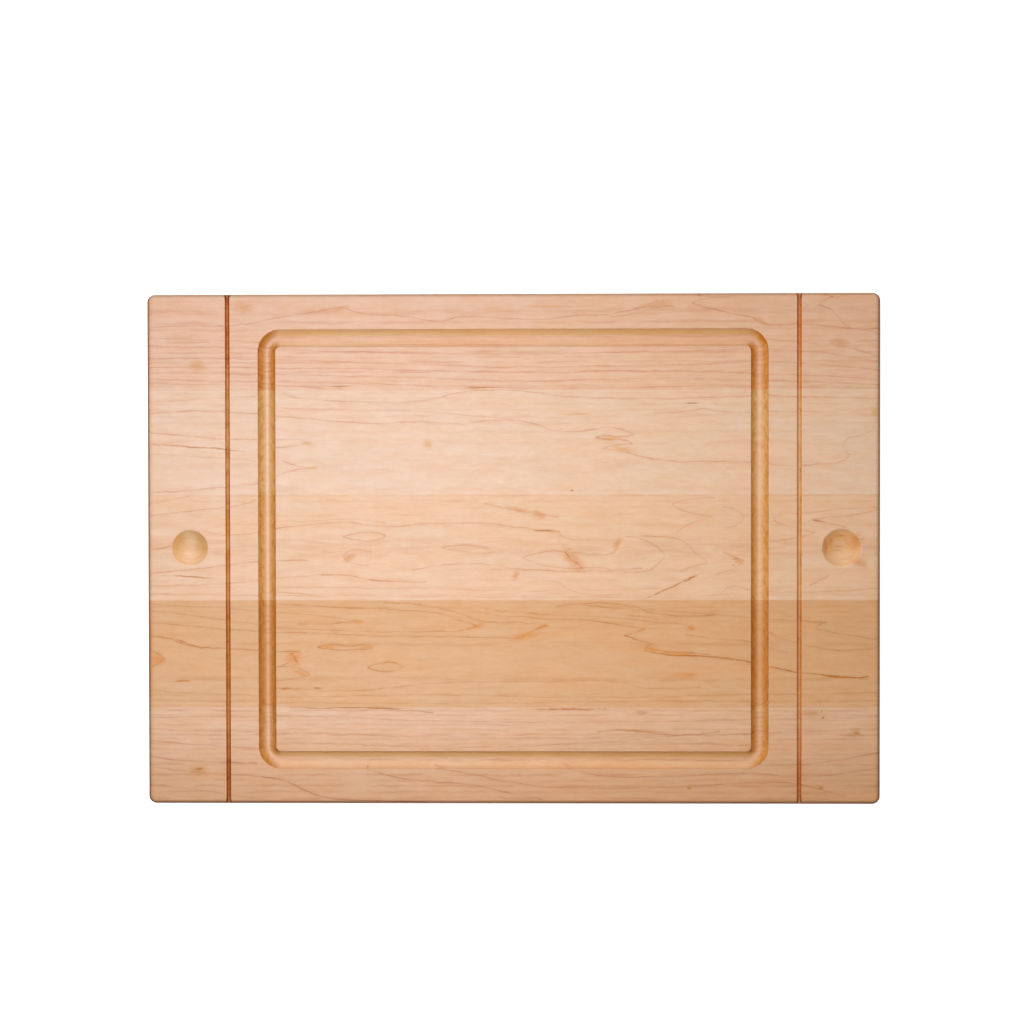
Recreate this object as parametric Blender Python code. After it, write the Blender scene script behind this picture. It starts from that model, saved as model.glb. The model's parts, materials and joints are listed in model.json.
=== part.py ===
"""An edge-glued maple cutting board with a juice groove. Metres, Z up.

Five staves lie side by side along Y, and each runs the full length along X. A round-bottomed
juice groove follows a rounded rectangle, a narrow groove crosses each end, and a shallow round
well between each end groove and the end of the board takes a thumb.
The origin is at the centre of the underside.
"""

import math

import bmesh
import bpy
from mathutils import Matrix, Vector

# The whole board
LENGTH = 0.508
WIDTH = 0.354
THICKNESS = 0.019
CORNER_RADIUS = 0.0055  # of the four corners, seen from above
EDGE_ROUND = 0.0032  # along the top and bottom edges

# The staves from the rear (+Y) to the front, each with the colour of its maple
STAVES = {
    "stave_rear_edge": (0.81, 0.50, 0.35),
    "stave_rear_inner": (0.87, 0.61, 0.45),
    "stave_centre": (0.86, 0.56, 0.38),
    "stave_front_inner": (0.74, 0.42, 0.23),
    "stave_front_edge": (0.70, 0.43, 0.28),
}
JOINTS_Y = (0.1104, 0.0378, -0.0355, -0.1097)  # where one stave meets the next
GLUE_LINE = 0.0003

# The juice groove, cut with a round-nosed bit along its centre line
JUICE_HALF_X = 0.1708
JUICE_HALF_Y = 0.1464
JUICE_TURN = 0.0094  # the centre line's radius at each corner
JUICE_BIT_RADIUS = 0.00635
JUICE_DEPTH = 0.0047

# The groove across each end
END_GROOVE_X = 0.198
END_GROOVE_RADIUS = 0.0016
END_GROOVE_DEPTH = 0.0015

# The thumb wells, each with its centre along X and Y and the radius of its mouth
THUMB_WELLS = {
    "left": (-0.2245, 0.0010, 0.0127),
    "right": (0.2272, 0.0005, 0.0136),
}
WELL_DEPTH = 0.0044

# How finely the round shapes are faceted
CORNER_STEPS = 8
TURN_STEPS = 12
EDGE_STEPS = 6
GROOVE_STEPS = 40
END_GROOVE_STEPS = 28
WELL_STEPS = 48

OVERSHOOT = 0.01  # how far a cutter or block reaches past the board


def clear_scene():
    for item in list(bpy.data.objects):
        bpy.data.objects.remove(item, do_unlink=True)


def maple(name, colour):
    """Oiled maple of one colour."""
    material = bpy.data.materials.new(name)
    material.use_nodes = True
    shader = material.node_tree.nodes["Principled BSDF"]
    shader.inputs["Base Color"].default_value = (*colour, 1.0)
    shader.inputs["Roughness"].default_value = 0.5
    shader.inputs["Metallic"].default_value = 0.0
    return material


def as_object(shape, name):
    """A scene object from a bmesh, with its faces turned outwards."""
    bmesh.ops.recalc_face_normals(shape, faces=shape.faces[:])
    mesh = bpy.data.meshes.new(name)
    shape.to_mesh(mesh)
    shape.free()
    item = bpy.data.objects.new(name, mesh)
    bpy.context.scene.collection.objects.link(item)
    return item


def as_cutter(shape, name):
    """A helper that shapes the staves and isn't a piece of the board."""
    item = as_object(shape, name)
    item.hide_render = True
    item.display_type = "WIRE"
    return item


def rounded_rectangle(half_x, half_y, radius, steps):
    """Pairs of (point, outward direction) round a rectangle with rounded corners."""
    path = []
    for corner, (side_x, side_y) in enumerate(((1, 1), (-1, 1), (-1, -1), (1, -1))):
        centre = Vector((side_x * (half_x - radius), side_y * (half_y - radius)))
        for step in range(steps + 1):
            angle = math.radians(90) * (corner + step / steps)
            outward = Vector((math.cos(angle), math.sin(angle)))
            path.append((centre + outward * radius, outward))
    return path


def sweep(path, profile, closed_profile):
    """Carries a profile of (outward, height) points round a closed path.

    A closed profile makes a ring. An open one is capped at its first and last points.
    """
    shape = bmesh.new()
    loops = []
    for offset, height in profile:
        points = [point + outward * offset for point, outward in path]
        loops.append([shape.verts.new((x, y, height)) for x, y in points])
    if closed_profile:
        pairs = zip(loops, loops[1:] + loops[:1])
    else:
        pairs = zip(loops, loops[1:])
        shape.faces.new(loops[0])
        shape.faces.new(loops[-1])
    for lower, upper in pairs:
        for here in range(len(path)):
            ahead = (here + 1) % len(path)
            shape.faces.new((lower[here], lower[ahead], upper[ahead], upper[here]))
    return shape


def blank():
    """The board's outer shape, with its corners and edges rounded and nothing cut in it."""
    path = rounded_rectangle(LENGTH / 2, WIDTH / 2, CORNER_RADIUS, CORNER_STEPS)
    bottom = []
    for step in range(EDGE_STEPS + 1):
        angle = math.radians(90) * step / EDGE_STEPS
        inset = EDGE_ROUND * (1 - math.sin(angle))
        bottom.append((-inset, EDGE_ROUND * (1 - math.cos(angle))))
    top = [(offset, THICKNESS - height) for offset, height in reversed(bottom)]
    return as_cutter(sweep(path, bottom + top, False), "blank_shape")


def juice_groove():
    path = rounded_rectangle(JUICE_HALF_X, JUICE_HALF_Y, JUICE_TURN, TURN_STEPS)
    axis_height = THICKNESS - JUICE_DEPTH + JUICE_BIT_RADIUS
    profile = []
    for step in range(GROOVE_STEPS):
        angle = math.radians(360) * step / GROOVE_STEPS
        offset = JUICE_BIT_RADIUS * math.sin(angle)
        profile.append((offset, axis_height - JUICE_BIT_RADIUS * math.cos(angle)))
    return as_cutter(sweep(path, profile, True), "juice_groove_cutter")


def end_groove(side, x):
    height = THICKNESS - END_GROOVE_DEPTH + END_GROOVE_RADIUS
    lying_along_y = Matrix.Rotation(math.radians(90), 4, "X")
    shape = bmesh.new()
    bmesh.ops.create_cone(
        shape,
        cap_ends=True,
        segments=END_GROOVE_STEPS,
        radius1=END_GROOVE_RADIUS,
        radius2=END_GROOVE_RADIUS,
        depth=WIDTH + 2 * OVERSHOOT,
        matrix=Matrix.Translation((x, 0, height)) @ lying_along_y,
    )
    return as_cutter(shape, f"end_groove_cutter_{side}")


def thumb_well(side, x, y, mouth_radius):
    """A ball whose lowest part is the dish of the well."""
    ball_radius = (mouth_radius**2 + WELL_DEPTH**2) / (2 * WELL_DEPTH)
    shape = bmesh.new()
    bmesh.ops.create_uvsphere(
        shape,
        u_segments=WELL_STEPS,
        v_segments=WELL_STEPS,
        radius=ball_radius,
        matrix=Matrix.Translation((x, y, THICKNESS - WELL_DEPTH + ball_radius)),
    )
    return as_cutter(shape, f"thumb_well_cutter_{side}")


def boolean(item, operation, other):
    modifier = item.modifiers.new(f"{operation.lower()} {other.name}", "BOOLEAN")
    modifier.operation = operation
    modifier.solver = "EXACT"
    modifier.object = other


def stave(name, y_low, y_high, colour, board_shape, cutters):
    """One stave: a block between two glue lines, trimmed to the board and then cut."""
    shape = bmesh.new()
    size = Vector((LENGTH + 2 * OVERSHOOT, y_high - y_low, THICKNESS + 2 * OVERSHOOT))
    centre = Vector((0, (y_low + y_high) / 2, THICKNESS / 2))
    placing = Matrix.Translation(centre) @ Matrix.Diagonal((*size, 1))
    bmesh.ops.create_cube(shape, size=1, matrix=placing)
    item = as_object(shape, name)
    item.data.materials.append(maple(f"{name}_maple", colour))
    boolean(item, "INTERSECT", board_shape)
    for cutter in cutters:
        boolean(item, "DIFFERENCE", cutter)
    return item


def apply_modifiers(item):
    """Replaces the object's mesh with its finished shape, smooth except at the sharp edges."""
    graph = bpy.context.evaluated_depsgraph_get()
    finished = bpy.data.meshes.new_from_object(item.evaluated_get(graph))
    item.modifiers.clear()
    item.data = finished
    item.data.shade_smooth()
    item.data.set_sharp_from_angle(angle=math.radians(30))


def board():
    """All five staves, side by side from the rear to the front."""
    board_shape = blank()
    across = [
        juice_groove(),
        end_groove("left", -END_GROOVE_X),
        end_groove("right", END_GROOVE_X),
    ]
    wells = [thumb_well(side, *measures) for side, measures in THUMB_WELLS.items()]
    limits = (WIDTH / 2 + OVERSHOOT, *JOINTS_Y, -WIDTH / 2 - OVERSHOOT)
    for (name, colour), rear, front in zip(STAVES.items(), limits, limits[1:]):
        cutters = across + wells if name == "stave_centre" else across
        y_low = front + GLUE_LINE / 2
        y_high = rear - GLUE_LINE / 2
        apply_modifiers(stave(name, y_low, y_high, colour, board_shape, cutters))


clear_scene()
board()
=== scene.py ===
"""How the edge-glued maple cutting board looks. Metres, Z up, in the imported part's frame.

Each CAD stave is replaced by a finer one of the same size, with eased rims on the grooves and
wells and with the glue joints closed up. Each stave has its own wood, whose growth rings run
through the whole thickness, so that they meet at every edge, groove and well.
"""

import json
import math

import bmesh
import bpy
from mathutils import Matrix, Vector


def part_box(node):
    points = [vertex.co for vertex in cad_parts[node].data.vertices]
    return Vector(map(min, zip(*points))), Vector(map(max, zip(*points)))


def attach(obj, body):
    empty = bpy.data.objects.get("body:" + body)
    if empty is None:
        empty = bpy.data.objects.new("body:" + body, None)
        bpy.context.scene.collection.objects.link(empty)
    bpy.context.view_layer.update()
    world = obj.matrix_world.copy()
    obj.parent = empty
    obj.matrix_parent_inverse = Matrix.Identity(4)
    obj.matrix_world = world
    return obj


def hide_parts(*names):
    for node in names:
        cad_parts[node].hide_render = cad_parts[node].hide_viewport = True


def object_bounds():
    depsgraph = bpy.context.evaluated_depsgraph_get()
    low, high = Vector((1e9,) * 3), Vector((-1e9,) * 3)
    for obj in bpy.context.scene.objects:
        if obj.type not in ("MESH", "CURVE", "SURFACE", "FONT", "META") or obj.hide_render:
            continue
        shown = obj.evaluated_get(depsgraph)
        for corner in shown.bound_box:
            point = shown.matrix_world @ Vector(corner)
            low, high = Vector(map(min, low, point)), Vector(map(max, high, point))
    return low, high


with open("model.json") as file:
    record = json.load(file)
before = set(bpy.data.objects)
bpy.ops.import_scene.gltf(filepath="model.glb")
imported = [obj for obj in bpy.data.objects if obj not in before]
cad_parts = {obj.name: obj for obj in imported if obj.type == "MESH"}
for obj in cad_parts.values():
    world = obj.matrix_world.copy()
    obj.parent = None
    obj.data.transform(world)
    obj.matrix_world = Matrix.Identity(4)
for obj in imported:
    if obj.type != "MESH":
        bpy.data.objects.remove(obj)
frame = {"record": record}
CAD_LOW, CAD_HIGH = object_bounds()

# The board, from the frame
LENGTH = CAD_HIGH.x - CAD_LOW.x
WIDTH = CAD_HIGH.y - CAD_LOW.y
TOP = CAD_HIGH.z
OPENINGS = {item["name"]: item["box_m"] for item in frame["record"]["physics"]["openings"]}

# Its rounded corners and edges, and the joints between the staves
CORNER_RADIUS = 0.0055
EDGE_ROUND = 0.0032
GLUE_LINE = 0.00002

# The cuts in its top, each with its rim eased over
JUICE_TURN = 0.0094  # the radius of the juice groove's centre line at each corner
JUICE_BIT_RADIUS = 0.00635
JUICE_DEPTH = 0.0047
JUICE_EASE = 0.0003
END_GROOVE_X = 0.198
END_GROOVE_RADIUS = 0.0016
END_GROOVE_DEPTH = 0.0015
END_GROOVE_EASE = 0.00015
WELL_MOUTHS = {"thumb_well_left": 0.0127, "thumb_well_right": 0.0136}
WELL_DEPTH = 0.0044
WELL_EASE = 0.0009

# How finely the round shapes are made
CORNER_STEPS = 16
EDGE_STEPS = 12
BOTTOM_STEPS = 24
RIM_STEPS = 6
TURN_STEPS = 24
WELL_STEPS = 96
RIM_LIFT = 0.000006  # a rim leaves the top at a small angle, so that the cut has a clean edge
OVERSHOOT = 0.01  # how far a cutter or block reaches past the board
SHARP_ANGLE = math.radians(30)  # an edge with a greater angle stays sharp

MM = 0.001


def middle(opening, axis):
    low, high = OPENINGS[opening]
    return (low[axis] + high[axis]) / 2


# ---- Shapes ----


def as_object(shape, name):
    """A scene object from a bmesh, with its faces turned outwards."""
    bmesh.ops.recalc_face_normals(shape, faces=shape.faces[:])
    mesh = bpy.data.meshes.new(name)
    shape.to_mesh(mesh)
    shape.free()
    item = bpy.data.objects.new(name, mesh)
    bpy.context.scene.collection.objects.link(item)
    return item


def rounded_rectangle(half_x, half_y, radius, steps):
    """Pairs of (point, outward direction) round a rectangle with rounded corners."""
    path = []
    for corner, (side_x, side_y) in enumerate(((1, 1), (-1, 1), (-1, -1), (1, -1))):
        centre = Vector((side_x * (half_x - radius), side_y * (half_y - radius)))
        for step in range(steps + 1):
            angle = math.radians(90) * (corner + step / steps)
            outward = Vector((math.cos(angle), math.sin(angle)))
            path.append((centre + outward * radius, outward))
    return path


def skin(loops, closed_profile):
    """Joins rings of points with faces. Unless the profile closes, both end rings are capped."""
    shape = bmesh.new()
    rings = [[shape.verts.new(point) for point in loop] for loop in loops]
    pairs = list(zip(rings, rings[1:]))
    if closed_profile:
        pairs.append((rings[-1], rings[0]))
    else:
        shape.faces.new(rings[0])
        shape.faces.new(rings[-1])
    for lower, upper in pairs:
        for here in range(len(lower)):
            ahead = (here + 1) % len(lower)
            shape.faces.new((lower[here], lower[ahead], upper[ahead], upper[here]))
    return shape


def sweep(path, profile, closed_profile):
    """Carries a profile of (outward, height) points round a closed path."""
    loops = []
    for offset, height in profile:
        points = [point + outward * offset for point, outward in path]
        loops.append([(x, y, height) for x, y in points])
    return skin(loops, closed_profile)


def eased_half(radius, depth, ease):
    """The right half of a round-bottomed cut with an eased rim, as (offset, height) points.

    It starts at the lowest point and ends above the board's top, which is at height 0. The
    rim's round touches both the cut's round and the top.
    """
    axis = radius - depth
    rim = math.sqrt((radius + ease) ** 2 - (axis + ease) ** 2)
    meeting = math.atan2(rim, axis + ease)
    half = []
    for step in range(BOTTOM_STEPS + 1):
        angle = meeting * step / BOTTOM_STEPS
        half.append((radius * math.sin(angle), axis - radius * math.cos(angle)))
    for step in range(1, RIM_STEPS):
        angle = meeting * (1 - step / RIM_STEPS)
        half.append((rim - ease * math.sin(angle), ease * math.cos(angle) - ease))
    return half + [(rim, RIM_LIFT), (rim, OVERSHOOT)]


def eased_whole(radius, depth, ease):
    """Both halves of the cut's outline, in order, with heights in the frame."""
    right = [(offset, TOP + height) for offset, height in eased_half(radius, depth, ease)]
    left = [(-offset, height) for offset, height in reversed(right[1:])]
    return left + right


def blank():
    """The board's outer shape, with its corners and edges rounded and nothing cut in it."""
    path = rounded_rectangle(LENGTH / 2, WIDTH / 2, CORNER_RADIUS, CORNER_STEPS)
    bottom = []
    for step in range(EDGE_STEPS + 1):
        angle = math.radians(90) * step / EDGE_STEPS
        inset = EDGE_ROUND * (1 - math.sin(angle))
        bottom.append((-inset, EDGE_ROUND * (1 - math.cos(angle))))
    top = [(offset, TOP - height) for offset, height in reversed(bottom)]
    return as_object(sweep(path, bottom + top, False), "blank_shape")


def juice_groove():
    half_x = middle("juice_groove_right", 0)
    half_y = middle("juice_groove_rear", 1)
    path = rounded_rectangle(half_x, half_y, JUICE_TURN, TURN_STEPS)
    profile = eased_whole(JUICE_BIT_RADIUS, JUICE_DEPTH, JUICE_EASE)
    return as_object(sweep(path, profile, True), "juice_groove_cutter")


def end_groove(x):
    """A straight groove along Y that runs out of both edges of the board."""
    outline = eased_whole(END_GROOVE_RADIUS, END_GROOVE_DEPTH, END_GROOVE_EASE)
    reach = WIDTH / 2 + OVERSHOOT
    loops = [[(x + offset, y, height) for offset, height in outline] for y in (-reach, reach)]
    return as_object(skin(loops, False), "end_groove_cutter")


def thumb_well(opening):
    """A shallow dish, made by turning its outline about a vertical axis."""
    mouth = WELL_MOUTHS[opening]
    ball_radius = (mouth**2 + WELL_DEPTH**2) / (2 * WELL_DEPTH)
    centre = Vector((middle(opening, 0), middle(opening, 1), TOP))
    loops = []
    for offset, height in eased_half(ball_radius, WELL_DEPTH, WELL_EASE)[1:]:
        ring = []
        for step in range(WELL_STEPS):
            angle = math.radians(360) * step / WELL_STEPS
            ring.append(centre + Vector((offset * math.cos(angle), offset * math.sin(angle), height)))
        loops.append(ring)
    return as_object(skin(loops, False), "thumb_well_cutter")


def boolean(item, operation, other):
    modifier = item.modifiers.new(f"{operation.lower()} {other.name}", "BOOLEAN")
    modifier.operation = operation
    modifier.solver = "EXACT"
    modifier.object = other


def finished_mesh(item):
    """The object's mesh with its modifiers applied, smooth except at the sharp edges."""
    graph = bpy.context.evaluated_depsgraph_get()
    mesh = bpy.data.meshes.new_from_object(item.evaluated_get(graph))
    mesh.shade_smooth()
    mesh.set_sharp_from_angle(angle=SHARP_ANGLE)
    return mesh


def shape_stave(name, y_low, y_high, board_shape, cutters):
    """A block between two joints, trimmed to the board and then cut."""
    shape = bmesh.new()
    size = Vector((LENGTH + 2 * OVERSHOOT, y_high - y_low, TOP + 2 * OVERSHOOT))
    centre = Vector((0, (y_low + y_high) / 2, TOP / 2))
    placing = Matrix.Translation(centre) @ Matrix.Diagonal((*size, 1))
    bmesh.ops.create_cube(shape, size=1, matrix=placing)
    item = as_object(shape, name)
    boolean(item, "INTERSECT", board_shape)
    for cutter in cutters:
        boolean(item, "DIFFERENCE", cutter)
    mesh = finished_mesh(item)
    item.modifiers.clear()
    item.data = mesh
    flat = item.modifiers.new("large faces stay flat", "WEIGHTED_NORMAL")
    flat.keep_sharp = True
    return item


def shape_staves(names):
    """All the staves from the rear to the front, each meeting the next at the middle of the glue."""
    boxes = [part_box(name) for name in names]
    joints = [(rear[0].y + front[1].y) / 2 for rear, front in zip(boxes, boxes[1:])]
    limits = (CAD_HIGH.y + OVERSHOOT, *joints, CAD_LOW.y - OVERSHOOT)
    board_shape = blank()
    across = [juice_groove(), end_groove(-END_GROOVE_X), end_groove(END_GROOVE_X)]
    wells = [thumb_well(opening) for opening in WELL_MOUTHS]
    staves = {}
    for name, rear, front in zip(names, limits, limits[1:]):
        cutters = across + wells if front < middle("thumb_well_left", 1) < rear else across
        y_low = front + GLUE_LINE / 2
        y_high = rear - GLUE_LINE / 2
        staves[name] = shape_stave(f"{name}_wood", y_low, y_high, board_shape, cutters)
    for helper in (board_shape, *across, *wells):
        bpy.data.objects.remove(helper)
    return staves


# ---- Wood ----

# Each stave, from the rear. Millimetres from the middle of the board, and linear RGB.
#   rear, front: the bare wood's colour at the stave's two edges
#   line, blotch: the dark line at the end of a growth ring, and a stained patch
#   cut: what walls cut across the grain multiply the wood's colour by
#   crown, heart: the Y of the crown of the rings, and how far below the top the tree's heart is
#   spacing, faint: from one fine ring to the next, and how dark the fine rings are
#   lines: the bold rings, each with how dark it is and the points that it passes
#   blotches, streaks: stained marks, each with its X, Y, length, breadth and turn in degrees
STAVES = {
    "stave_rear_edge": {
        "rear": (0.80, 0.50, 0.355),
        "front": (0.83, 0.535, 0.385),
        "line": (0.60, 0.25, 0.14),
        "blotch": (0.70, 0.31, 0.12),
        "cut": (0.97, 0.685, 0.255),
        "crown": 172,
        "heart": 25,
        "spacing": 2.9,
        "faint": 0.34,
        "lines": (
            (0.35, (-254, 154), (-225, 155.5), (-185, 156.5), (-165, 160.5), (-140, 164.5),
             (-118, 168)),
            (0.35, (-118, 167.5), (-104, 164), (-80, 162.3), (-50, 158.3), (-35, 161), (0, 159.3),
             (25, 159)),
            (0.4, (25, 159), (45, 161.5), (62, 162), (75, 164.5), (88, 167), (100, 171.5)),
            (0.35, (62, 161.5), (80, 162), (95, 166), (112, 168)),
            (0.5, (84, 166.3), (94, 167.6), (110, 168.4)),
            (0.4, (124, 170), (130, 172.3), (150, 174), (175, 175.5)),
            (0.45, (124, 170), (134, 166.5), (150, 163), (165, 160), (172, 156), (200, 155),
             (225, 153), (254, 149)),
            (0.4, (211, 168), (214, 171), (225, 175), (235, 177)),
            (0.45, (211, 168), (219, 165.5), (224, 160.5), (233, 152.5), (240, 151.5), (254, 152)),
            (0.3, (-254, 146.5), (-225, 146), (-195, 145), (-165, 143)),
            (0.25, (175, 145), (200, 142.5), (225, 140), (254, 133)),
            (0.3, (-254, 141.5), (-178, 139.5), (-100, 136.5), (0, 135), (100, 136.5), (190, 137.5),
             (254, 129)),
            (0.3, (-254, 132.5), (-165, 131.5), (-60, 128), (0, 126.5), (100, 127), (190, 128.5),
             (254, 123)),
            (0.35, (-254, 126.5), (-165, 126), (-60, 123.8), (0, 122.5), (110, 123), (190, 120.5),
             (254, 117)),
            (0.3, (-254, 122), (-165, 121.5), (-50, 118), (0, 116.5), (100, 118), (190, 116),
             (254, 113)),
            (0.3, (-254, 118.5), (-165, 116.5), (-60, 113.5), (0, 112), (190, 112), (254, 111)),
            (0.3, (-254, 115.5), (-180, 114), (-115, 111)),
        ),
        "blotches": (
            (-119, 167, 18, 4, 10), (102, 169.5, 22, 6, 10), (-219, 127, 17, 11, 0),
            (226, 142, 17, 11, -20),
            (-187, 168, 20, 11, 0), (27, 168, 50, 1.8, 0), (172, 157, 16, 4, -30),
        ),
        "streaks": ((-120, 113, 18, 1.6, 0), (-22, 112, 34, 1.4, 2)),
    },
    "stave_rear_inner": {
        "rear": (0.84, 0.585, 0.435),
        "front": (0.85, 0.59, 0.44),
        "line": (0.66, 0.30, 0.17),
        "blotch": (0.72, 0.35, 0.11),
        "cut": (0.99, 0.86, 0.49),
        "crown": 58,
        "heart": 60,
        "spacing": 2.3,
        "faint": 0.20,
        "lines": (
            (0.35, (-254, 102.5), (-225, 104), (-200, 105.5), (-178, 106)),
            (0.35, (-160, 109.5), (-154, 106), (-135, 104), (-110, 102.5), (-70, 101.8), (-50, 105),
             (-36, 109), (-15, 110.3)),
            (0.4, (-15, 110.3), (15, 109), (35, 106), (60, 104.5), (100, 104), (150, 105.5),
             (254, 104)),
            (0.4, (-254, 94), (-225, 96), (-190, 95), (-130, 89.5), (-95, 87), (-72, 88.5),
             (-35, 86.5)),
            (0.45, (-35, 86.5), (-5, 89.5), (12, 87.5), (28, 82.5), (50, 82), (65, 84), (84, 80)),
            (0.25, (-165, 99), (-130, 97), (-90, 96), (-60, 95), (-30, 92.5), (0, 90.5)),
            (0.4, (-254, 81.5), (-230, 79.5), (-200, 77), (-160, 76), (-149, 76), (-143, 74)),
            (0.4, (-178, 69), (-165, 70.5), (-154, 71.5), (-143, 74)),
            (0.45, (-160, 61.5), (-152, 58.5), (-138, 56.3)),
            (0.4, (-160, 53), (-150, 55), (-138, 56.3)),
            (0.35, (-254, 39.5), (-215, 42), (-185, 45.5), (-168, 48.5), (-160, 53)),
            (0.45, (57, 77), (65, 78.5), (74, 77.5), (85, 80)),
            (0.45, (57, 77), (66, 76), (76, 75.5), (83, 73)),
            (0.45, (62, 70), (70, 72), (83, 73)),
            (0.45, (62, 70), (72, 68.5), (83, 66), (92, 63.5), (110, 61), (135, 61), (165, 60)),
            (0.4, (165, 60), (190, 57.5), (212, 58.5), (227, 60.5), (233, 65)),
            (0.4, (228, 71), (231, 76), (240, 78.5), (247, 81.5), (251, 90)),
            (0.4, (228, 71), (230, 67), (233, 65)),
            (0.35, (98, 94), (120, 95), (135, 97), (141, 95), (180, 94.5), (225, 94.5)),
            (0.25, (-254, 66), (-200, 63), (-178, 61)),
        ),
        "blotches": (
            (70, 77, 32, 4, 5), (76, 69.5, 24, 5, -15), (-59, 73, 10, 10, 0), (-142, 74, 10, 3, 0),
            (-140, 56, 14, 3, 10), (45, 94, 26, 2.4, 0), (250, 94, 7, 10, 0),
        ),
        "streaks": ((-219, 70.8, 84, 1.5, -4.6), (41, 40.5, 3.5, 2, 0), (123, 101.5, 16, 1.6, 0)),
    },
    "stave_centre": {
        "rear": (0.84, 0.55, 0.375),
        "front": (0.84, 0.555, 0.385),
        "line": (0.64, 0.29, 0.14),
        "blotch": (0.68, 0.26, 0.06),
        "cut": (0.97, 0.79, 0.41),
        "crown": 1,
        "heart": 55,
        "spacing": 2.2,
        "faint": 0.22,
        "lines": (
            (0.3, (-254, 31), (-235, 35), (-225, 37.5)),
            (0.35, (-254, 23.5), (-215, 27.5), (-190, 31), (-178, 34.5)),
            (0.3, (-215, 12.5), (-205, 10.5), (-185, 10.5), (-168, 14)),
            (0.25, (-165, 19.5), (-140, 19.5), (-105, 20.5), (-88, 17.5)),
            (0.5, (-254, 0.3), (-245, 1), (-236, 3)),
            (0.4, (-254, -16.5), (-215, -13), (-190, -9.8), (-165, -8), (-142, -8)),
            (0.35, (-165, -30), (-145, -31), (-128, -34)),
            (0.3, (-254, -25), (-200, -24), (-165, -20), (-125, -17)),
            (0.55, (-133, -17.5), (-115, -18), (-95, -21.5), (-60, -23)),
            (0.4, (-168, 14), (-140, 17), (-118, 18.5), (-90, 16), (-60, 17.5), (-25, 18), (5, 15)),
            (0.45, (5, 15), (20, 13), (33, 11.3)),
            (0.3, (32, 10), (38, 7.5), (54, 6.3)),
            (0.4, (78, 8.7), (95, 9), (112, 8)),
            (0.45, (-118, 9), (-108, 11.5), (-97, 12), (-88, 9.5)),
            (0.45, (-118, 9), (-106, 6.5), (-93, 7), (-88, 9.5)),
            (0.45, (-118, -5), (-114, -1.5), (-106, -0.5), (-98, -2.5)),
            (0.4, (-118, -5), (-113, -9), (-100, -11)),
            (0.35, (-50, 1), (-40, 2.8), (-25, 2.2), (-12, -2)),
            (0.35, (-50, 1), (-40, -0.8), (-22, -2.6), (-12, -2)),
            (0.35, (-70, -14.5), (-50, -11), (-20, -10.5), (2, -13.5), (25, -15), (60, -15), (90, -13)),
            (0.35, (6, -5.5), (12, -3.5), (22, -1.5), (40, -1.5), (68, -2.8), (72, 0), (74, 6)),
            (0.35, (6, -5.5), (15, -9), (28, -12.5), (60, -13), (88, -16), (98, -12.5), (105, -5)),
            (0.4, (78, 8.7), (88, 7), (97, 3), (104, -2), (105, -5)),
            (0.35, (112, 8), (120, 4), (127, -3), (135, -9)),
            (0.35, (115, -15), (125, -12), (135, -9)),
            (0.3, (110, 31), (116, 33.5), (140, 35.5)),
            (0.35, (110, 31), (118, 27), (128, 24.5), (138, 21.5)),
            (0.3, (113, 11), (118, 15), (127, 18.5), (138, 21.5)),
            (0.3, (145, 29), (154, 27.5), (160, 22)),
            (0.3, (147, 14.5), (156, 17), (160, 22)),
            (0.35, (145, -2), (152, -4.5), (160, -8)),
            (0.35, (140, -17), (151, -14), (160, -8)),
            (0.3, (180, 20), (184, 23.5), (200, 25), (254, 29)),
            (0.35, (180, 20), (188, 16.5), (200, 13.5), (209, 11)),
            (0.3, (178, 5), (195, 7.5), (203, 9), (209, 11)),
            (0.35, (207, 20.3), (218, 22), (232, 23), (254, 27)),
            (0.4, (207, 20.3), (216, 18.5), (231, 14.5)),
            (0.4, (205, -25), (212, -22), (218, -18), (220, -13)),
            (0.3, (144, -31), (150, -26), (165, -28), (200, -29.5), (254, -27)),
            (0.3, (-20, 32), (0, 27.5), (15, 24.5), (32, 22)),
            (0.3, (20, -21), (32, -23), (38, -28), (75, -31)),
            (0.25, (-165, -26), (-60, -27.5), (20, -29), (100, -27)),
            (0.25, (-254, -31), (-165, -32), (0, -33), (165, -34)),
            (0.4, (-15, -14.3), (8, -14.5), (26, -14.8)),
        ),
        "blotches": (
            (42, -7.5, 29, 13, -45), (18, 24, 14, 6, -15), (4, 27, 16, 5, -10), (72, 3, 11, 6, 60),
            (122, -21, 16, 3, 24), (156, -8, 10, 5, -30), (-114, -6, 14, 6, 30), (2, -18, 10, 6, 80),
            (236, 4, 13, 19, -30), (239, -9.5, 16, 8, -25), (219.8, 5, 5, 9, -15),
            (225.5, 9.3, 13, 3.4, 0), (231, 5.2, 4.5, 9, 25), (225, 1.6, 11, 2.6, 0),
            (216, 2, 4, 17, 0),
        ),
        "streaks": (
            (-224, -19, 44, 1.6, -4), (109, -26.5, 50, 1.5, 24), (211, 19.8, 12, 1.7, -12),
            (22, 12.8, 22, 1.5, -2), (154, -6.5, 6, 1.4, 0), (152.5, -11, 5, 1.3, 10),
            (225, -1.2, 8, 1.5, 0), (38, -4, 11, 1.3, -55), (45, -10.5, 12, 1.4, -45),
            (124, -20, 8, 2, 24),
        ),
    },
    "stave_front_inner": {
        "rear": (0.745, 0.42, 0.222),
        "front": (0.755, 0.435, 0.242),
        "line": (0.53, 0.21, 0.055),
        "blotch": (0.72, 0.25, 0.02),
        "cut": (0.94, 0.73, 0.35),
        "crown": -78,
        "heart": 40,
        "spacing": 2.2,
        "faint": 0.20,
        "lines": (
            (0.55, (-254, -60), (-240, -62), (-225, -67), (-200, -69), (-178, -70.5), (-148, -71.5)),
            (0.5, (-165, -82), (-157, -79), (-152, -74)),
            (0.4, (-165, -82), (-150, -82.5), (-141, -87)),
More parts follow.
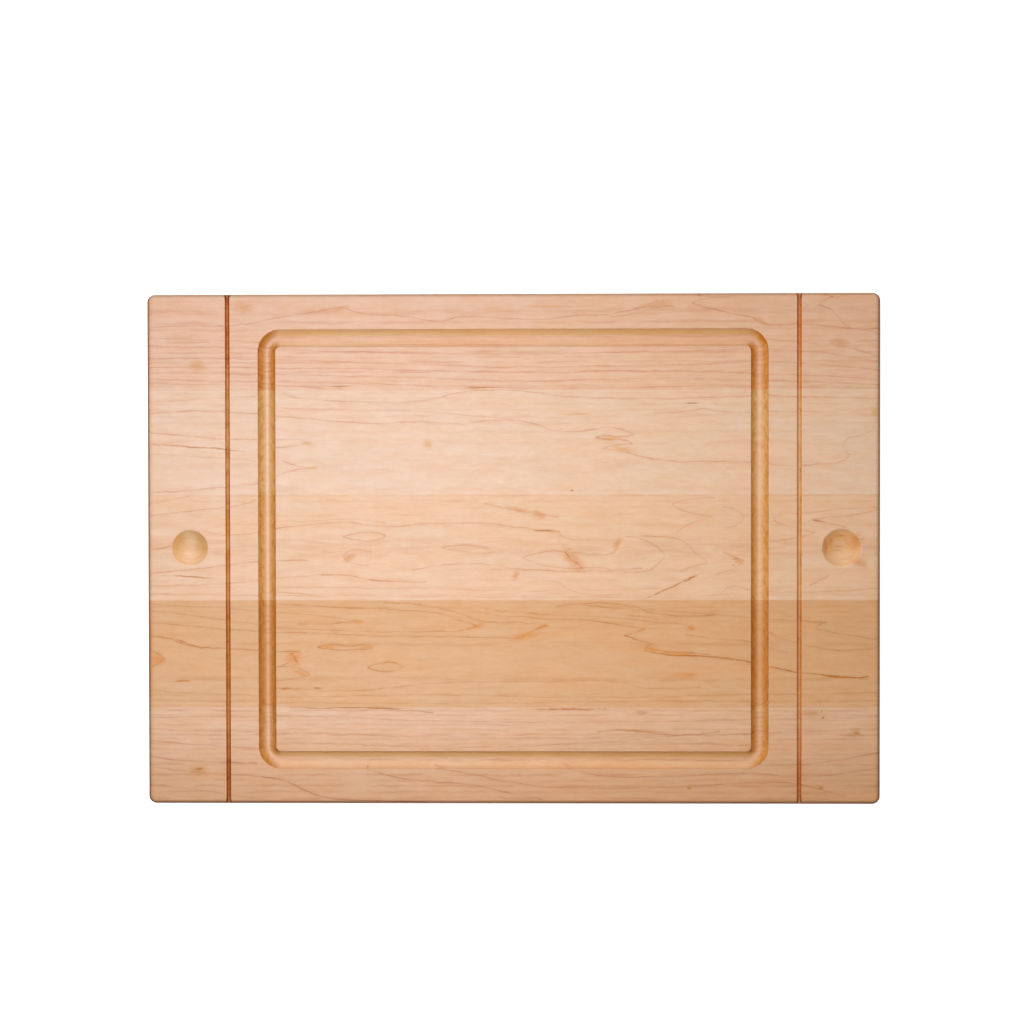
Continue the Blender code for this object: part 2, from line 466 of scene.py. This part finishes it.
            (0.35, (-165, -92), (-150, -89.5), (-141, -87)),
            (0.45, (-254, -70), (-248, -72), (-242, -76)),
            (0.4, (-254, -83), (-248, -80), (-242, -76)),
            (0.3, (-254, -38), (-200, -41), (-165, -44), (-130, -46.5), (-108, -50)),
            (0.35, (-150, -52), (-125, -51.5), (-108, -50)),
            (0.35, (-254, -43), (-225, -46), (-200, -49), (-178, -52), (-140, -55.5), (-100, -57),
             (-40, -57)),
            (0.45, (-40, -57), (-32, -55.5), (-25, -53)),
            (0.4, (-165, -38), (-120, -40), (-80, -42), (-50, -45), (-38, -49), (-25, -53)),
            (0.4, (-254, -50), (-225, -53), (-178, -57), (-130, -58.5), (-100, -60), (-40, -61),
             (0, -61.5)),
            (0.35, (-90, -37), (-50, -41), (-20, -50), (5, -51), (24, -53)),
            (0.5, (0, -62.5), (8, -60), (14, -56.5), (24, -53)),
            (0.4, (-20, -45), (20, -48), (45, -49), (65, -51), (80, -53.5), (91, -55.5)),
            (0.4, (30, -39.5), (85, -40.5), (95, -44), (140, -46)),
            (0.3, (-20, -41), (20, -45), (60, -46.5), (100, -50), (115, -51)),
            (0.45, (77, -60.5), (84, -58.5), (91, -55.5)),
            (0.5, (77, -60.5), (86, -63), (97, -65.5)),
            (0.5, (91, -70), (93, -67.5), (97, -65.5)),
            (0.6, (91, -68), (97, -69.5), (120, -71.5), (137, -73.5)),
            (0.85, (91, -70), (102, -72.5), (128, -74), (150, -76.5), (178, -81.5), (195, -85)),
            (0.9, (195, -85), (215, -87.3), (235, -89.5), (246, -88.5)),
            (0.3, (35, -37), (60, -40), (100, -42.5), (140, -45.5), (165, -48), (200, -50),
             (217, -50.5)),
            (0.4, (209, -54), (212, -52), (217, -50.5)),
            (0.35, (209, -54), (216, -57), (235, -60), (254, -62)),
            (0.3, (75, -45), (100, -48.5), (115, -51), (125, -55)),
            (0.35, (119, -59), (121, -57), (125, -55)),
            (0.35, (119, -59), (135, -61.5), (165, -64), (180, -69), (190, -72)),
            (0.3, (175, -57), (200, -66), (225, -70), (254, -68)),
            (0.45, (-136, -68), (-128, -66), (-112, -67), (-103, -66), (-97, -68.5)),
            (0.45, (-136, -68), (-122, -70), (-108, -69.5), (-97, -68.5)),
            (0.5, (-101, -82), (-93, -79), (-84, -78.5), (-76, -81.5)),
            (0.5, (-101, -82), (-91, -84.5), (-82, -84), (-76, -81.5)),
            (0.3, (-165, -96.5), (-100, -97.5), (-60, -93.5), (20, -92), (75, -92.5), (90, -96),
             (130, -95.5)),
            (0.25, (-254, -98), (-165, -102), (-60, -101), (60, -103), (165, -101), (254, -99)),
            (0.25, (-254, -105), (-60, -107), (60, -106), (254, -105)),
        ),
        "blotches": (
            (-152.5, -76, 15, 14, 0), (9, -60, 30, 8, 14), (21, -54, 14, 4, 15), (120, -87, 27, 5, 0),
            (-24, -53, 12, 5, 20),
            (88, -56.5, 12, 3, 20), (98, -70, 24, 4, -10), (123.5, -54.5, 8, 4, 0),
            (-247, -76, 14, 11, 0),
            (-108, -50, 12, 5, 0), (-128, -68, 16, 3.6, 0), (-101, -68, 12, 3.6, 0),
            (-148, -86, 18, 4, -20), (112, -72, 34, 4, -4), (-253.5, -72, 8, 84, 0),
        ),
        "streaks": (
            (-157, -96.5, 22, 1.7, 0), (-136, -96.5, 12, 1.5, 0), (-230, -91.5, 16, 1.8, 0),
            (225, -88.4, 46, 1.7, -6), (122, -74, 30, 1.3, -3), (-225, -66, 30, 1.4, -20),
            (-151, -77, 8, 1.8, -60), (-154, -73, 7, 1.6, 30),
        ),
    },
    "stave_front_edge": {
        "rear": (0.80, 0.50, 0.335),
        "front": (0.70, 0.39, 0.22),
        "line": (0.50, 0.21, 0.10),
        "blotch": (0.56, 0.26, 0.08),
        "cut": (0.93, 0.72, 0.33),
        "crown": -200,
        "heart": 30,
        "spacing": 3.1,
        "faint": 0.34,
        "lines": (
            (0.45, (-254, -143.5), (-240, -146), (-215, -147.5), (-178, -148.5)),
            (0.35, (-254, -151), (-225, -155), (-200, -156.5), (-175, -158)),
            (0.8, (-175, -158), (-158, -161.5), (-145, -168), (-125, -173), (-105, -174.5),
             (-60, -176)),
            (0.5, (-102, -153), (-88, -157), (-60, -161), (-30, -163.5), (0, -170), (20, -174)),
            (0.4, (-55, -152), (-30, -156), (0, -162), (40, -165.5), (100, -165), (165, -162)),
            (0.4, (165, -162), (190, -162.5), (210, -166), (230, -171.5)),
            (0.35, (35, -152), (60, -157), (100, -158), (165, -156), (200, -158), (254, -151)),
            (0.3, (-254, -163), (-215, -168), (-180, -173)),
            (0.3, (178, -150), (200, -149), (254, -141)),
            (0.5, (58, -127), (70, -125.5), (85, -126), (105, -128.5), (120, -129), (143, -126.5)),
            (0.25, (-254, -125), (-165, -127), (-60, -130), (20, -131), (165, -128), (254, -124)),
            (0.25, (-254, -117), (-120, -116.5), (-60, -119), (60, -120), (254, -116)),
            (0.25, (-165, -134), (-100, -136), (0, -137), (60, -134), (165, -136)),
            (0.3, (-254, -133), (-220, -136), (-178, -138)),
            (0.6, (-155, -110.2), (-100, -110.5), (-80, -111.5), (-55, -113.8)),
        ),
        "blotches": (
            (-219, -153, 16, 9, 0), (237, -127.5, 9, 7, 0), (205, -114, 26, 6, 0), (90, -114, 12, 5, 0),
            (90, -126.5, 50, 3, -3), (235, -129, 24, 4, 0),
        ),
        "streaks": (
            (37, -111, 66, 2.1, 0), (122, -166, 4, 2.4, 0), (213, -166, 5, 2.6, 0),
            (238, -127.5, 6, 2.4, 0),
            (-94, -110.3, 50, 1.2, -1), (-218, -153, 7, 3, 0), (213.5, -113, 2.5, 2, 0),
            (214.5, -117, 2.5, 2, 0),
        ),
    },
}

STREAK = (0.52, 0.17, 0.015)
BLOTCHED = 0.55  # how much of a blotch's or streak's colour shows in the middle of it
STREAKED = 0.75
MARK_DEPTH = 9
MARK_EDGE = (1.8, 0.8)  # where a mark's soft edge begins and ends, as parts of its half-size
FRAY = 1.4  # how much the edge moves in and out
FRAY_PATCHES = (6, 1.5)  # the length and breadth of patches are along the grain and across it

WAVERS = (  # how long and how broad each is, and how far it shifts the rings across the stave
    (120, 12, 2.0),
    (34, 8, 1.6),
    (12, 4, 1.7),
    (5, 2, 0.8),
)
CORE = 0.75  # half the breadth of a bold ring's line, and of the stain around it
STAIN = 3.0
BOLDNESS = 1.6  # how much darker than its strength a line's middle is
STAIN_FAINTER = 5  # how many times fainter than its strength the stain is
BOLD_PATCHES = (18, 6)
BOLD_CHANGE = (0.45, 1.2)  # how bold a ring is in its faintest and darkest stretches
FINE = 0.35  # half the breadth of a fine ring's line, as a part of the spacing
FINE_PATCHES = (30, 4)
FINE_OWN = 1.1  # how much fine rings differ, and how dark the faintest is
FINE_LEAST = 0.4

MOST = (0.35, 0.65)  # most of a noise's values lie between these
DEEPER = 6  # a millimetre down, the wood is like that this many millimetres further back

# What the bare wood's colour is multiplied by
MOTTLES = (  # how long and how broad the patches are, and their two tints
    (70, 18, (1.015, 0.985, 0.96), (0.985, 1.015, 1.04)),
    (24, 7, (0.98, 0.95, 0.90), (1.02, 1.04, 1.07)),
    (6, 2.5, (0.985, 0.975, 0.96), (1.015, 1.025, 1.04)),
)
MOTTLE_SPAN = (0.3, 0.7)
FIBRES = (14, 0.6)
FIBRE_SPAN = (0.3, 0.75)
FIBRE_PALE = (1.015, 1.02, 1.03)
FIBRE_DARK = (0.98, 0.965, 0.93)
PAINTED_SHADE_RIGHT = (0.955, 0.91, 0.82)  # painted shade, warmer and darker at the board's right, where the light is weaker
PAINTED_SHADE_RIGHT_SPAN = (-90, 140)

# Cut surfaces. The tints that depend on which way a surface faces stand in for shading, and they
# suit a soft light from above and from the rear left.
CUT = (1.0, 0.97, 0.91)  # on the floor of a groove or well
CUT_SPAN = (-0.1, -0.6)  # the heights where a rim turns into a cut surface
PAINTED_LEG_SHADE = (0.82, 0.77, 0.68)  # painted shade on the walls beside the middle of the juice groove's left leg
PAINTED_LEG_SHADE_SPAN = (0, 0.25)  # this and the other spans of slopes are parts of a surface's normal
PAINTED_LEG_SHADE_RIGHT = 0.4  # how much painted shade the right leg has, if the left one has 1
WELL = (0.95, 0.95, 0.88)  # painted shade all over a well
WELL_LEFT = (0.90, 0.81, 0.60)  # partly the end grain's colour and partly painted shade, on the sloping sides of the left well, and of the right one
WELL_RIGHT = (1.05, 0.93, 0.76)
WELL_SPAN = (0.03, 0.35)
WELL_FRONT_SPAN = (0.3, 0)
WELL_FRONT = 0.35  # how much of its colours, which are partly painted shade, a well shows on its front side
WELL_WALLS = 0.2  # how much of the walls' colours a well's sloping side takes
ACROSS_SPAN = (0.05, 0.6)
TORN = (0.85, 0.75, 0.55)  # where the bit has torn the fibres, in patches across the grain
TORN_PATCHES = (2, 5)
TORN_SPAN = (0.42, 0.64)
WALL_REAR = (0.96, 0.95, 0.68)  # painted shade on walls along the grain that face the front, and the rear
WALL_FRONT = (0.98, 0.99, 0.94)
WALL_SPAN = (0.08, 0.5)

# The end grooves, which their narrow bit scorched
SCORCH_LEFT = (0.60, 0.35, 0.11)
SCORCH_RIGHT = (0.85, 0.72, 0.60)
SCORCH_OUTER = (0.86, 0.60, 0.32)  # near the board's front and rear
OUTER_SPAN = (110, 155)
SCORCH_SPAN = (-0.05, -0.4)
SCORCH_PATCH = 14  # the length of a more or less scorched stretch
SCORCH_LEAST = 0.72

# The outside of the board
END_BAND = (0.94, 0.84, 0.72)  # a darker band along each end
BAND_SPAN = (5, 1.5)
# Partly the end grain's own colour and partly painted shade on the ends.
END_GRAIN = (0.31, 0.25, 0.19)
END_SPAN = (0.25, 0.75)
# Painted shade on the front edge, and a weaker painted shade on the rear edge.
FRONT_EDGE = (0.34, 0.25, 0.17)
FRONT_SPAN = (0.0, -0.8)
REAR_EDGE = (0.50, 0.46, 0.37)
REAR_SPAN = (0.0, 0.9)

# The oiled finish
ROUGHNESS_SPAN = (0.2, 0.8)
ROUGHNESS = (0.42, 0.58)
SPECULAR = 0.25
RELIEF = 0.15
RELIEF_HEIGHT = 0.00005

# Limits that tell the cuts in the top from the outside of the board, in millimetres
EDGE_MARGIN = 4  # a cut surface is at least this far inside the board's edges
DEEPEST_CUT = -8
DEEPEST_SCORCH = -4
PAST_END_GROOVE = 5  # a well is at least this far outwards of its end groove
SCORCH_MARGIN = 0.6


class Nodes:
    """Short forms for a material's nodes. Each input is a number, a tuple or another output."""

    def __init__(self, tree):
        self.tree = tree

    def add(self, kind, inputs, **settings):
        node = self.tree.nodes.new(kind)
        for name, value in settings.items():
            setattr(node, name, value)
        for name, value in inputs.items():
            if isinstance(value, bpy.types.NodeSocket):
                self.tree.links.new(value, node.inputs[name])
            else:
                node.inputs[name].default_value = value
        return node

    def math(self, operation, *inputs, use_clamp=False):
        inputs = dict(enumerate(inputs))
        return self.add("ShaderNodeMath", inputs, operation=operation, use_clamp=use_clamp).outputs[0]

    def vector(self, operation, *inputs):
        node = self.add("ShaderNodeVectorMath", dict(enumerate(inputs)), operation=operation)
        return node.outputs["Value" if operation == "LENGTH" else "Vector"]

    def split(self, vector):
        return self.add("ShaderNodeSeparateXYZ", {0: vector}).outputs

    def join(self, x, y, z):
        return self.add("ShaderNodeCombineXYZ", {0: x, 1: y, 2: z}).outputs[0]

    def product(self, first, *others):
        for other in others:
            first = self.math("MULTIPLY", first, other)
        return first

    def noise(self, vector, detail=2.0, roughness=0.5):
        inputs = {"Vector": vector, "Scale": 1.0, "Detail": detail, "Roughness": roughness}
        return self.add("ShaderNodeTexNoise", inputs).outputs[0]

    def patches(self, place, length, breadth, detail=2.0, roughness=0.5):
        """Noise in patches of this length along the grain and this breadth across it."""
        frequency = (1 / length, 1 / breadth, 1 / breadth)
        return self.noise(self.vector("MULTIPLY", place, frequency), detail, roughness)

    def ramp(self, value, low, high, out_low=0.0, out_high=1.0):
        """A smooth step from out_low at low to out_high at high."""
        inputs = {0: value, 1: low, 2: high, 3: out_low, 4: out_high}
        return self.add("ShaderNodeMapRange", inputs, interpolation_type="SMOOTHSTEP").outputs[0]

    def mix(self, factor, a, b, blend="MIX"):
        inputs = {0: factor, 6: a, 7: b}
        return self.add("ShaderNodeMix", inputs, data_type="RGBA", blend_type=blend).outputs[2]

    def tint(self, colour, amount, multiplier):
        """The colour, multiplied where the amount is 1 and left alone where it is 0."""
        return self.mix(amount, colour, self.mix(1.0, colour, opaque(multiplier), "MULTIPLY"))

    def curve(self, value, points):
        """A smooth curve through the given points."""
        node = self.add("ShaderNodeFloatCurve", {1: value})
        mapping = node.mapping
        mapping.use_clip = False
        line = mapping.curves[0]
        while len(line.points) < len(points):
            line.points.new(*points[-1])
        for point, place in zip(line.points, points):
            point.location = place
        mapping.update()
        return node.outputs[0]


def opaque(colour):
    return (*colour, 1.0)


class Surface:
    """Where a point is, in millimetres from the middle of the board's top, and how it faces."""

    def __init__(self, n):
        coordinates = n.add("ShaderNodeTexCoord", {})
        to_top = (0, 0, -TOP / MM)
        self.place = n.vector("MULTIPLY_ADD", coordinates.outputs["Object"], (1 / MM,) * 3, to_top)
        self.x, self.y, self.height = n.split(self.place)
        self.out_x = n.math("ABSOLUTE", self.x)
        self.out_y = n.math("ABSOLUTE", self.y)
        self.left = n.math("LESS_THAN", self.x, 0)
        self.right = n.math("SUBTRACT", 1, self.left)
        self.facing_x, self.facing_y, _ = n.split(coordinates.outputs["Normal"])
        self.across = n.math("ABSOLUTE", self.facing_x)
        self.inside = n.product(
            n.math("LESS_THAN", self.out_y, WIDTH / 2 / MM - EDGE_MARGIN),
            n.math("LESS_THAN", self.out_x, LENGTH / 2 / MM - EDGE_MARGIN),
            n.math("GREATER_THAN", self.height, DEEPEST_CUT),
        )
        self.cut = n.product(self.inside, n.ramp(self.height, *CUT_SPAN))
        self.well = n.math("GREATER_THAN", self.out_x, END_GROOVE_X / MM + PAST_END_GROOVE)


def wavering(n, place):
    """The place, shifted across the grain here and there as real growth is."""
    for length, breadth, shift in WAVERS:
        waver = n.math("SUBTRACT", n.patches(place, length, breadth), 0.5)
        place = n.vector("ADD", place, n.join(0, n.math("MULTIPLY", waver, shift), 0))
    return place


def fine_rings(n, place, wood):
    """The many fine rings round the tree's heart, each darker in some stretches than in others."""
    _, y, height = n.split(place)
    beside = n.math("DIVIDE", n.math("SUBTRACT", y, wood["crown"]), wood["spacing"])
    below = n.math("DIVIDE", n.math("ADD", height, wood["heart"]), wood["spacing"])
    rings = n.vector("LENGTH", n.join(beside, below, 0))
    nearest = n.math("ROUND", rings)
    off_line = n.math("ABSOLUTE", n.math("SUBTRACT", rings, nearest))
    own = n.add("ShaderNodeTexWhiteNoise", {"W": nearest}, noise_dimensions="1D").outputs[0]
    own = n.math("MULTIPLY_ADD", own, FINE_OWN, FINE_LEAST)
    stretch = n.ramp(n.patches(place, *FINE_PATCHES), *MOST)
    return n.product(n.ramp(off_line, FINE, 0, 0, wood["faint"]), stretch, own)


def bold_rings(n, place, wood):
    """The rings that show, as sheets that curve down round the tree's heart."""
    x, y, height = n.split(place)
    # The Y at which the ring through this place comes up to the board's top
    beside = n.math("SUBTRACT", y, wood["crown"])
    gain = n.math("MULTIPLY", height, n.math("ADD", height, 2 * wood["heart"]))
    at_top = n.math("MULTIPLY_ADD", beside, beside, gain)
    at_top = n.math("SQRT", n.math("MAXIMUM", at_top, 0))
    at_top = n.math("MULTIPLY_ADD", at_top, n.math("SIGN", beside), wood["crown"])
    dark = 0.0
    for strength, *points in wood["lines"]:
        off_line = n.math("ABSOLUTE", n.math("SUBTRACT", at_top, n.curve(x, points)))
        core = n.ramp(off_line, CORE, 0, 0, strength * BOLDNESS)
        stain = n.ramp(off_line, STAIN, 0, 0, strength / STAIN_FAINTER)
        first, last = points[0][0], points[-1][0]
        along = n.math("COMPARE", x, (first + last) / 2, (last - first) / 2)
        line = n.product(along, n.math("MAXIMUM", core, stain))
        dark = n.math("MAXIMUM", dark, line)
    stretch = n.ramp(n.patches(place, *BOLD_PATCHES, detail=3), *MOST, *BOLD_CHANGE)
    return n.math("MULTIPLY", dark, stretch, use_clamp=True)


def marks(n, place, spots):
    """Soft-edged blotches and streaks. The result is 1 in the middle of one and 0 away from all."""
    frayed = n.patches(place, *FRAY_PATCHES, detail=3, roughness=0.6)
    mask = 0.0
    for spot_x, spot_y, length, breadth, turn in spots:
        inputs = {
            "Vector": place,
            "Location": (spot_x, spot_y, 0),
            "Rotation": (0, 0, math.radians(turn)),
            "Scale": (length / 2, breadth / 2, MARK_DEPTH),
        }
        local = n.add("ShaderNodeMapping", inputs, vector_type="TEXTURE").outputs[0]
        away = n.math("MULTIPLY_ADD", frayed, FRAY, n.vector("LENGTH", local))
        mask = n.math("MAXIMUM", mask, n.ramp(away, *MARK_EDGE))
    return mask


def clear_wood(n, on, name, fibres):
    """Wood without its figure: in patches pinker or yellower, and streaked along the grain."""
    low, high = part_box(name)
    further_back = n.math("MULTIPLY_ADD", on.height, -DEEPER, on.y)
    towards_front = n.ramp(further_back, high.y / MM, low.y / MM)
    colour = n.mix(towards_front, opaque(STAVES[name]["rear"]), opaque(STAVES[name]["front"]))
    for length, breadth, low_tint, high_tint in MOTTLES:
        mottle = n.ramp(n.patches(on.place, length, breadth, detail=3, roughness=0.6), *MOTTLE_SPAN)
        colour = n.mix(1.0, colour, n.mix(mottle, opaque(low_tint), opaque(high_tint)), "MULTIPLY")
    streaked = n.mix(n.ramp(fibres, *FIBRE_SPAN), opaque(FIBRE_PALE), opaque(FIBRE_DARK))
    return n.mix(1.0, colour, streaked, "MULTIPLY")


def figured(n, on, wood, colour):
    """Adds the growth rings, the stained blotches and the mineral streaks, and painted shade that grows
    warmer and darker towards the board's right.
    """
    grown = wavering(n, on.place)
    colour = n.mix(fine_rings(n, grown, wood), colour, opaque(wood["line"]))
    colour = n.mix(bold_rings(n, grown, wood), colour, opaque(wood["line"]))
    blotched = n.product(marks(n, grown, wood["blotches"]), BLOTCHED)
    colour = n.mix(blotched, colour, opaque(wood["blotch"]))
    streaked = n.product(marks(n, grown, wood["streaks"]), STREAKED)
    colour = n.mix(streaked, colour, opaque(STREAK))
    # Painted shade, warmer and darker towards the board's right.
    return n.tint(colour, n.ramp(on.x, *PAINTED_SHADE_RIGHT_SPAN), PAINTED_SHADE_RIGHT)


def painted_leg_shade(n, on, colour):
    """A darker tint beside the middle of the juice groove's short legs, stronger in the left one. It is
    painted shade on their sloping walls.
    """
    from_leg = n.math("ABSOLUTE", n.math("SUBTRACT", on.out_x, middle("juice_groove_right", 0) / MM))
    short_leg = n.math("LESS_THAN", from_leg, 2 * JUICE_BIT_RADIUS / MM)
    more_left = n.math("MULTIPLY_ADD", on.left, 1 - PAINTED_LEG_SHADE_RIGHT, PAINTED_LEG_SHADE_RIGHT)
    amount = n.product(on.cut, short_leg, n.ramp(on.across, *PAINTED_LEG_SHADE_SPAN), more_left)
    # Painted shade on the legs' sloping walls.
    return n.tint(colour, amount, PAINTED_LEG_SHADE)


def well_sides(n, on, colour):
    """Painted shade over the wells, and tints for their sloping sides, in the left well only where they
    face along the board, partly the end grain's colour and partly painted shade.
    """
    in_well = n.product(on.cut, on.well, n.ramp(on.facing_y, *WELL_FRONT_SPAN, WELL_FRONT, 1))
    # Painted shade over the whole well, weaker on its front side.
    colour = n.tint(colour, in_well, WELL)
    # On the sloping sides, partly the end grain's colour and partly painted shade.
    slope = n.vector("LENGTH", n.join(on.facing_x, n.product(on.facing_y, on.right), 0))
    side = n.product(in_well, n.ramp(slope, *WELL_SPAN))
    colour = n.tint(colour, n.product(side, on.left), WELL_LEFT)
    return n.tint(colour, n.product(side, on.right), WELL_RIGHT)


def cut_walls(n, on, wood, colour):
    """Tints for the walls of grooves and wells, strongest where they are cut across the grain, and
    painted shade on walls along the grain by whether they face the front or the rear.
    """
    wall = n.product(on.cut, n.math("MULTIPLY_ADD", on.well, WELL_WALLS - 1, 1))
    across_grain = n.product(wall, n.ramp(on.across, *ACROSS_SPAN))
    colour = n.tint(colour, across_grain, wood["cut"])
    torn = n.ramp(n.patches(on.place, *TORN_PATCHES, detail=4, roughness=0.7), *TORN_SPAN)
    colour = n.tint(colour, n.product(across_grain, torn), TORN)
    # Painted shade on walls along the grain, by whether they face the front or the rear.
    low, high = WALL_SPAN
    colour = n.tint(colour, n.product(wall, n.ramp(on.facing_y, -low, -high)), WALL_REAR)
    return n.tint(colour, n.product(wall, n.ramp(on.facing_y, low, high)), WALL_FRONT)


def scorched(n, on, colour):
    """The end grooves are scorched unevenly, the left one more, and both near their ends."""
    from_groove = n.math("ABSOLUTE", n.math("SUBTRACT", on.out_x, END_GROOVE_X / MM))
    uneven = n.noise(n.vector("MULTIPLY", on.place, (0, 1 / SCORCH_PATCH, 0)), detail=3, roughness=0.6)
    scorch = n.product(
        n.math("LESS_THAN", from_groove, END_GROOVE_RADIUS / MM + SCORCH_MARGIN),
        n.ramp(on.height, *SCORCH_SPAN),
        n.math("GREATER_THAN", on.height, DEEPEST_SCORCH),
        n.ramp(uneven, *MOST, SCORCH_LEAST, 1.0),
    )
    colour = n.tint(colour, n.product(scorch, on.left), SCORCH_LEFT)
    colour = n.tint(colour, n.product(scorch, on.right), SCORCH_RIGHT)
    return n.tint(colour, n.product(scorch, n.ramp(on.out_y, *OUTER_SPAN)), SCORCH_OUTER)


def outside_tints(n, on, colour):
    """Darker tints: on the end grain, partly its own colour and partly painted shade; painted shade on
    the front and rear edges, less on the rear; and a band along each end.
    """
    from_end = n.math("SUBTRACT", LENGTH / 2 / MM, on.out_x)
    colour = n.tint(colour, n.ramp(from_end, *BAND_SPAN), END_BAND)
    outside = n.math("SUBTRACT", 1, on.inside)
    # Partly the end grain's own colour, partly painted shade.
    colour = n.tint(colour, n.product(outside, n.ramp(on.across, *END_SPAN)), END_GRAIN)
    # Painted shade on the front and rear edges.
    colour = n.tint(colour, n.product(outside, n.ramp(on.facing_y, *FRONT_SPAN)), FRONT_EDGE)
    return n.tint(colour, n.product(outside, n.ramp(on.facing_y, *REAR_SPAN)), REAR_EDGE)


def maple(name):
    """One stave's oiled maple, with its growth rings, fibres and cut surfaces."""
    wood = STAVES[name]
    material = bpy.data.materials.new(f"{name}_maple")
    material.use_nodes = True
    shader = material.node_tree.nodes["Principled BSDF"]
    n = Nodes(material.node_tree)
    on = Surface(n)
    fibres = n.patches(on.place, *FIBRES, detail=3, roughness=0.65)

    colour = clear_wood(n, on, name, fibres)
    colour = figured(n, on, wood, colour)
    colour = n.tint(colour, on.cut, CUT)
    colour = painted_leg_shade(n, on, colour)
    colour = well_sides(n, on, colour)
    colour = cut_walls(n, on, wood, colour)
    colour = scorched(n, on, colour)
    colour = outside_tints(n, on, colour)

    relief = {"Strength": RELIEF, "Distance": RELIEF_HEIGHT, "Height": fibres}
    links = material.node_tree.links
    links.new(colour, shader.inputs["Base Color"])
    links.new(n.ramp(fibres, *ROUGHNESS_SPAN, *ROUGHNESS), shader.inputs["Roughness"])
    links.new(n.add("ShaderNodeBump", relief).outputs[0], shader.inputs["Normal"])
    shader.inputs["Specular IOR Level"].default_value = SPECULAR
    return material


# ---- Studio ----

CAMERA_PLACE = (0.0319, 0.0529, 1.6)
CAMERA_TURN = (-0.984, 1.175, -0.090)  # degrees about X, Y and Z
CAMERA_LENS = 80.27
CAMERA_SENSOR = 36.0
CAMERA_NEAR = 0.01

FLOOR_SIZE = 12.0
FLOOR_COLOUR = (0.95, 0.95, 0.95)
FLOOR_GLOW = 0.8  # a light table, which keeps the background white right up to the board
AMBIENT = 0.25
KEY = {"place": (-0.075, 0.0, 0.62), "aim": Vector((0, 0, -1)), "size": 0.5, "power": 2.73}
REAR = {"place": (-0.3, 1.6, 1.1), "aim": Vector((0.3, -1.6, -1.1)), "size": 1.4, "power": 14.0}


def floor():
    bpy.ops.mesh.primitive_plane_add(size=FLOOR_SIZE)
    item = bpy.context.object
    item.name = "studio_floor"
    material = bpy.data.materials.new("white_floor")
    material.use_nodes = True
    shader = material.node_tree.nodes["Principled BSDF"]
    shader.inputs["Base Color"].default_value = opaque(FLOOR_COLOUR)
    shader.inputs["Roughness"].default_value = 1.0
    shader.inputs["Specular IOR Level"].default_value = 0.0
    shader.inputs["Emission Color"].default_value = (1, 1, 1, 1)
    shader.inputs["Emission Strength"].default_value = FLOOR_GLOW
    item.data.materials.append(material)


def lights():
    world = bpy.data.worlds.new("white_room")
    bpy.context.scene.world = world
    world.use_nodes = True
    world.node_tree.nodes["Background"].inputs["Color"].default_value = (1, 1, 1, 1)
    world.node_tree.nodes["Background"].inputs["Strength"].default_value = AMBIENT
    for name, lamp in {"key": KEY, "rear": REAR}.items():
        light = bpy.data.lights.new(name, "AREA")
        light.shape = "SQUARE"
        light.size = lamp["size"]
        light.energy = lamp["power"]
        item = bpy.data.objects.new(name, light)
        item.location = lamp["place"]
        item.rotation_euler = lamp["aim"].to_track_quat("-Z", "Y").to_euler()
        item.visible_camera = False
        bpy.context.scene.collection.objects.link(item)


def camera():
    data = bpy.data.cameras.new("camera")
    data.lens = CAMERA_LENS
    data.sensor_width = CAMERA_SENSOR
    data.clip_start = CAMERA_NEAR
    item = bpy.data.objects.new("camera", data)
    item.location = CAMERA_PLACE
    item.rotation_euler = [math.radians(turn) for turn in CAMERA_TURN]
    bpy.context.scene.collection.objects.link(item)
    bpy.context.scene.camera = item


# ---- The board in its studio ----

for name, piece in shape_staves(list(STAVES)).items():
    piece.data.materials.clear()
    piece.data.materials.append(maple(name))
    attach(piece, "root")
    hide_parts(name)

floor()
lights()
camera()
bpy.context.scene.view_settings.view_transform = "Standard"
